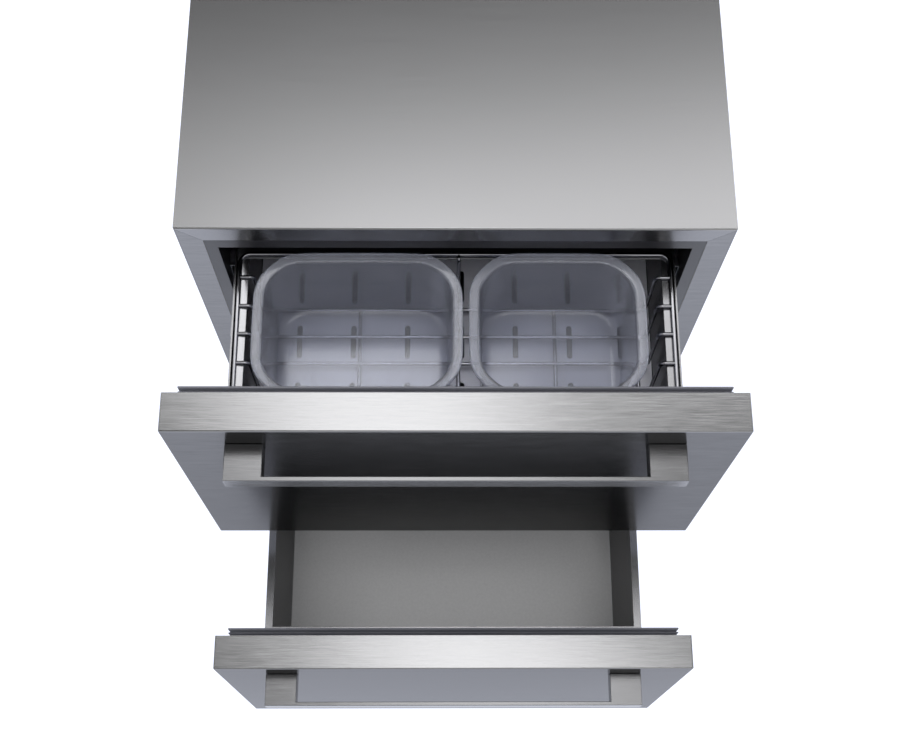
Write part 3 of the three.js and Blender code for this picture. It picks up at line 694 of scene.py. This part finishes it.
# ---------------------------------------------------------------------- bins
def bin_shell(node):
    bx0, bx1, by0, by1, low, top = mm(node)
    bx0, bx1, by0, by1 = bx0 + 2, bx1 - 2, by0 + 2, by1 - 2   # the bow is added back below

    def ring(inset, r, z, bow):
        return rounded_ring(bx0 + inset, bx1 - inset, by0 + inset, by1 - inset, r, z, bow)

    rings = [ring(24, 24, low, 0.2), ring(21, 27, low + 0.3, 0.3), ring(18.2, 30, low + 1.6, 0.4),
             ring(15.9, 32, low + 4.0, 0.6), ring(14.4, 34, low + 7.5, 0.8), ring(13.4, 35, low + 14, 0.9),
             ring(12.2, 37, low + 45, 1.2), ring(10.8, 39, low + 80, 1.5), ring(9.8, 40, top - 6.2, 1.7),
             ring(9.5, 40.5, top - 4.4, 1.7), ring(8.4, 41.5, top - 3.6, 1.7),
             ring(1.6, 48.5, top - 3.4, 2), ring(0.5, 49.5, top - 3.6, 2), ring(0.1, 50, top - 3.0, 2),
             ring(0, 50, top - 1.8, 2), ring(0.3, 49.7, top - 0.7, 2), ring(1.2, 49, top, 2), ring(2.2, 48, top, 2),
             ring(9.4, 41.5, top - 0.3, 1.7), ring(10.6, 40, top - 0.8, 1.7), ring(11.4, 39, top - 2.4, 1.6),
             ring(11.8, 38.5, top - 6, 1.6), ring(12.8, 37, low + 80, 1.4), ring(14.2, 35, low + 45, 1.1),
             ring(15.4, 33.5, low + 15, 0.9), ring(16.4, 32, low + 8.5, 0.8), ring(18, 30, low + 5.0, 0.6),
             ring(20.2, 28, low + 2.9, 0.4), ring(22.8, 25, low + 2.0, 0.3), ring(26, 22, low + 1.8, 0.2)]
    b = Build()
    b.rings(rings)
    o = b.object(node + "_moulded", MATS["bin_plastic"], "bin_plastic", "upper_drawer", 60)
    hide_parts(node)


bin_shell("bin_left")
bin_shell("bin_right")


# ---------------------------------------------------------------- the tray
def tray():
    x0, x1, y0, y1, z0, z1 = mm("slotted_tray")
    bm = bmesh.new()
    # outline and slots as edge loops, then filled as one flat face with holes
    loops = [[(x0, y0), (x1, y0), (x1, y1), (x0, y1)]]
    for col in range(7):
        for row in range(5):
            cx, cy = 8 + (col - 3) * 64, -126 + row * 72
            pts = []
            for k in range(9):
                a = math.pi * k / 8
                pts.append((cx + 3.3 * math.cos(a), cy + 17.7 + 3.3 * math.sin(a)))
            for k in range(9):
                a = math.pi + math.pi * k / 8
                pts.append((cx + 3.3 * math.cos(a), cy - 17.7 + 3.3 * math.sin(a)))
            loops.append(pts)
    edges = []
    for pts in loops:
        vs = [bm.verts.new(P(x, y, z1)) for x, y in pts]
        edges += [bm.edges.new((vs[i], vs[(i + 1) % len(vs)])) for i in range(len(vs))]
    bmesh.ops.triangle_fill(bm, use_beauty=True, use_dissolve=False, edges=edges)
    me = bpy.data.meshes.new("slotted_tray_punched")
    bm.to_mesh(me)
    bm.free()
    o = bpy.data.objects.new("slotted_tray_punched", me)
    bpy.context.scene.collection.objects.link(o)
    dress(o, TRAY)
    me.update()
    if me.polygons and me.polygons[0].normal.z < 0:
        me.flip_normals()
    sol = o.modifiers.new("thick", "SOLIDIFY")
    sol.thickness = 0.0012
    sol.offset = -1
    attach(o, "upper_drawer")
    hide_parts("slotted_tray")


tray()

# ------------------------------------------------------------ small fittings
SCREW = brushed("zinc_screw", (0.50, 0.50, 0.52), rough=(0.22, 0.34), along=60.0, across=900.0, tone=0.08)
BACK = mm("rear_panel")[3]


def screws(name, body, places, axis, r=4.0, h=1.5, material=None, slot="galvanised"):
    b = Build()
    for p in places:
        b.screw(P(*p), axis, r, h)
    return b.object(name, material or SCREW, slot, body, 40)


screws("rear_panel_screws", "cabinet",
       [(x, BACK, z) for x in (-290, 290) for z in (232, 391, 548, 705, 852)]
       + [(x, BACK, z) for z in (226, 857) for x in (-145, 0, 145)], (0, 1, 0))
screws("machine_cover_screws", "cabinet",
       [(x, BACK, z) for x in (-290, 290) for z in (44, 201)] + [(x, BACK, z) for z in (44, 201) for x in (-60, 45)], (0, 1, 0))
screws("grille_screws", "cabinet", [(x, 0.0, z) for x in (-267.5, 267.5) for z in (44, 118)], (0, -1, 0), 3.2, 1.0)
screws("inlet_screws", "cabinet", [(x, BACK, 122) for x in (-31, 11)], (0, 1, 0), 2.6, 1.1)


def louvre(b, x0, x1, z0, z1, y, out):
    """A pressed hood over a slot from z0 to z1. It hangs out by `out` mm and its ends close in."""
    n, m, t = 16, 7, 0.8
    rings = []
    for i in range(n + 1):
        u = i / n
        x = x0 + (x1 - x0) * u
        swell = min(1.0, min(u, 1 - u) * (x1 - x0) / 9.0)
        swell = math.sin(swell * math.pi / 2)
        top, low = [], []
        for k in range(m + 1):
            a = math.pi / 2 * k / m
            d = out * swell * math.sin(a)
            z = z1 + 1.4 - (z1 + 1.4 - z0) * (1 - math.cos(a))
            top.append(P(x, y + d + math.copysign(t, out), z))
            low.append(P(x, y + d + math.copysign(0.05, out), z))
        rings.append(top + low[::-1])
    b.rings(rings)


b = Build()
for row in range(6):
    for x in (-190, 145):
        louvre(b, x - 62, x + 62, 62 + row * 20, 68 + row * 20, BACK, 3.0)
b.object("rear_louvre_hoods", MATS["galvanised"], "galvanised", "cabinet", 40)
b = Build()
for row in range(4):
    for col in range(6):
        x = -225 + col * 90
        louvre(b, x - 37.5, x + 37.5, 48 + row * 18, 55 + row * 18, mm("front_vent_grille")[3], 4.5)
b.object("grille_louvre_hoods", MATS["stainless_dull"], "stainless_dull", "cabinet", 40)

# the inlet's flange
b = Build()
ring_out = rounded_ring(-35, 15, 0, 28, 5, 0)
ring_in = rounded_ring(-23.6, 3.6, 2.4, 25.6, 2, 0)


def upright(ring, y):
    return [P(v.x * 1000, y, 108 + (v.y - F) * 1000) for v in ring]


b.rings([upright(ring_out, BACK + 0.1), upright(ring_out, BACK + 1.2),
         upright(rounded_ring(-34.4, 14.4, 0.6, 27.4, 4.6, 0), BACK + 1.7),
         upright(rounded_ring(-24.2, 4.2, 1.8, 26.2, 2.4, 0), BACK + 1.7),
         upright(ring_in, BACK + 1.2), upright(ring_in, BACK + 0.1)], closed=True)
b.object("inlet_flange", MATS["black_plastic"], "black_plastic", "cabinet", 40)


# the feet: pad, stem, adjusting hexagon and threaded stud
def foot(node):
    x0, x1, y0, y1, z0, z1 = mm(node)
    cx, cy = (x0 + x1) / 2, (y0 + y1) / 2
    b = Build()

    def circle(r, z, n=32):
        return [P(cx + r * math.cos(2 * math.pi * k / n), cy + r * math.sin(2 * math.pi * k / n), z) for k in range(n)]

    b.rings([circle(r, z) for r, z in ((15.6, 0), (17.4, 0.25), (18.7, 1.4), (19, 2.6), (19, 6.2), (18.6, 7.6), (17.2, 8.9),
                                       (14.5, 9.7), (11.0, 11.0), (9.4, 12.6), (9.0, 14.0), (9.0, 21.4))])
    stud = []
    z = 21.2
    while z < 49.0:
        stud += [circle(4.1, z, 20), circle(4.9, z + 0.35, 20), circle(4.9, z + 0.55, 20), circle(4.1, z + 0.9, 20)]
        z += 1.25
    stud += [circle(4.0, 49.4, 20), circle(3.4, 50.0, 20)]
    b.rings(stud)
    hexes = []
    for f, z in ((0.90, 21.8), (0.97, 22.2), (1.0, 22.9), (1.0, 27.7), (0.97, 28.3), (0.90, 28.6)):
        hexes.append([P(cx + 12 * f * math.cos(math.pi / 3 * k), cy + 12 * f * math.sin(math.pi / 3 * k), z) for k in range(6)])
    b.rings(hexes)
    o = b.object(node + "_turned", MATS["foot_rubber"], "foot_rubber", node, 35)
    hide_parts(node)


for n in ("foot_front_left", "foot_front_right", "foot_rear_left", "foot_rear_right"):
    foot(n)


# the slides: screws in their webs, ball rows and end buffers
def ball(b, c, r):
    bm = bmesh.new()
    bmesh.ops.create_icosphere(bm, subdivisions=2, radius=r / 1000.0, matrix=Matrix.Translation(P(*c)))
    b.take(bm)


for tag in ("upper", "lower"):
    balls, buffers = Build(), Build()
    for side, s in (("left", -1), ("right", 1)):
        c = mm("%s_slide_cabinet_%s" % (tag, side))
        m = mm("%s_slide_middle_%s" % (tag, side))
        d = mm("%s_slide_drawer_%s" % (tag, side))
        zc = (c[4] + c[5]) / 2
        screws("%s_slide_cabinet_screws_%s" % (tag, side), "cabinet",
               [(s * 259.45, c[2] + q, zc) for q in (32, 200, 368)], (-s, 0, 0), 3.8, 1.6)
        screws("%s_slide_drawer_screws_%s" % (tag, side), tag + "_drawer",
               [(s * 249.55, d[2] + q, zc) for q in (28, 190, 352)], (s, 0, 0), 3.8, 1.6)
        for up in (-1, 1):
            zi = zc + up * (22.5 - 2.6)
            zj = zc + up * (18.5 - 3.1)
            for k in range(22):
                ball(balls, (s * 254.4, m[2] + 30 + k * 9.0, zi), 1.25)
                ball(balls, (s * 252.0, m[2] + 170 + k * 9.0, zj), 1.55)
        buffers.box(min(s * 253.0, s * 254.8), max(s * 253.0, s * 254.8), m[2] + 0.8, m[2] + 8, zc - 10, zc + 10, 0.6, 2)
    balls.object(tag + "_slide_balls", MATS["chrome_wire"], "chrome_wire", tag + "_slide_middles", 60)
    buffers.object(tag + "_slide_buffers", MATS["black_plastic"], "black_plastic", tag + "_slide_middles", 35)

# grub screws under the handle brackets
for tag in ("upper", "lower"):
    h = mm(tag + "_handle")
    screws(tag + "_handle_screws", tag + "_drawer",
           [(x, (h[2] + 5 + h[3]) / 2, h[4]) for x in (-221, 221)], (0, 0, -1), 3.0, 0.7)

# --------------------------------------------------------------------- stage
bm = bmesh.new()
bmesh.ops.create_grid(bm, x_segments=2, y_segments=2, size=45.0)
me = bpy.data.meshes.new("studio_floor")
bm.to_mesh(me)
bm.free()
floor = bpy.data.objects.new("studio_floor", me)
bpy.context.scene.collection.objects.link(floor)
fm, fnt, fb = new_material("floor_white")
fb.inputs["Base Color"].default_value = (0.11, 0.115, 0.125, 1)
fb.inputs["Roughness"].default_value = 0.9
fb.inputs["Emission Color"].default_value = (0.84, 0.875, 1.0, 1)
fb.inputs["Emission Strength"].default_value = 1.24
me.materials.append(fm)


def area(name, loc, target, sx, sy, power, color=(1, 1, 1)):
    ld = bpy.data.lights.new(name, "AREA")
    ld.shape = "RECTANGLE"
    ld.size, ld.size_y = sx, sy
    ld.energy = power
    ld.color = color
    lo = bpy.data.objects.new(name, ld)
    bpy.context.scene.collection.objects.link(lo)
    lo.location = loc
    d = Vector(target) - Vector(loc)
    lo.rotation_euler = d.to_track_quat("-Z", "Y").to_euler()
    return lo


key = area("softbox_key", (-0.3, -0.4, 4.2), (0, 0, 0.4), 3.2, 3.2, 75)
key.visible_glossy = False

# A pale studio round the object. Overhead there is a long lamp bank across the middle and a
# wide one behind it that fades towards the back wall.
world = bpy.data.worlds.new("studio")
bpy.context.scene.world = world
world.use_nodes = True
wnt = world.node_tree
bg = wnt.nodes["Background"]
bg.inputs["Strength"].default_value = 1.0
wtc = wnt.nodes.new("ShaderNodeTexCoord")
wsep = wnt.nodes.new("ShaderNodeSeparateXYZ")
link(wnt, wtc.outputs["Generated"], wsep.inputs[0])


def world_ramp(value, stops, colour=(1, 1, 1)):
    """Grey levels along a direction's x, y or z, with stops from -1 to 1 and levels up to 4."""
    half = math_node(wnt, "ADD", math_node(wnt, "MULTIPLY", value, 0.5), 0.5)
    out = ramp(wnt, half, [((q + 1) / 2, v / 4.0) for q, v in stops])
    sc = wnt.nodes.new("ShaderNodeSeparateColor")
    link(wnt, out, sc.inputs[0])
    return math_node(wnt, "MULTIPLY", sc.outputs[0], 4.0)


wide = world_ramp(wsep.outputs[1], [(-1.0, 0.70), (-0.2, 0.58), (0.05, 0.40), (0.30, 0.34), (0.37, 1.2), (0.42, 2.6),
                                    (0.46, 2.15), (0.50, 1.0), (0.545, 0.25), (0.61, 0.03), (0.70, 0.05), (0.80, 0.60), (1.0, 0.95)])
side = world_ramp(wsep.outputs[0], [(-1.0, 1.0), (-0.40, 0.95), (-0.30, 0.50), (-0.20, 0.50), (-0.1, 0.83), (0.0, 1.0),
                                    (0.2, 1.17), (1.0, 1.0)])
lean = math_node(wnt, "ADD", wsep.outputs[0], math_node(wnt, "MULTIPLY", math_node(wnt, "SUBTRACT", wsep.outputs[1], 0.32), 0.45))
bank_x = world_ramp(lean, [(-0.20, 0.03), (-0.12, 1.0), (0.01, 1.0), (0.05, 0.70), (0.072, 0.0)])
bank_y = world_ramp(wsep.outputs[1], [(-0.05, 0.0), (0.05, 1.0), (0.35, 1.0), (0.41, 0.0)])
above = world_ramp(wsep.outputs[2], [(0.3, 0.0), (0.5, 1.0)])
bank = math_node(wnt, "MULTIPLY", math_node(wnt, "MULTIPLY", bank_x, bank_y), math_node(wnt, "MULTIPLY", above, 3.1))
level = math_node(wnt, "ADD", math_node(wnt, "MULTIPLY", wide, side), bank)
# the pale backdrop near the horizon
near = world_ramp(wsep.outputs[2], [(0.10, 1.0), (0.24, 0.0)])
level = math_node(wnt, "ADD", math_node(wnt, "MULTIPLY", level, math_node(wnt, "SUBTRACT", 1.0, near)),
                  math_node(wnt, "MULTIPLY", near, 1.05))
wmix = wnt.nodes.new("ShaderNodeCombineColor")
link(wnt, level, wmix.inputs[0])
link(wnt, level, wmix.inputs[1])
link(wnt, math_node(wnt, "MULTIPLY", level, 1.01), wmix.inputs[2])
link(wnt, wmix.outputs[0], bg.inputs["Color"])

# -------------------------------------------------------------------- camera
cd = bpy.data.cameras.new("camera")
cam = bpy.data.objects.new("camera", cd)
bpy.context.scene.collection.objects.link(cam)
cd.sensor_width = 36.0
cd.sensor_fit = "HORIZONTAL"
cd.lens = 53.4476
cd.clip_end = 50
cam.location = (-0.012305, F + (-0.7014310 + 0.0483), 2.184755)
cam.rotation_euler = (math.radians(20.63848), math.radians(-0.61622), math.radians(-0.16697))
bpy.context.scene.camera = cam
bpy.context.scene.view_settings.view_transform = "Standard"
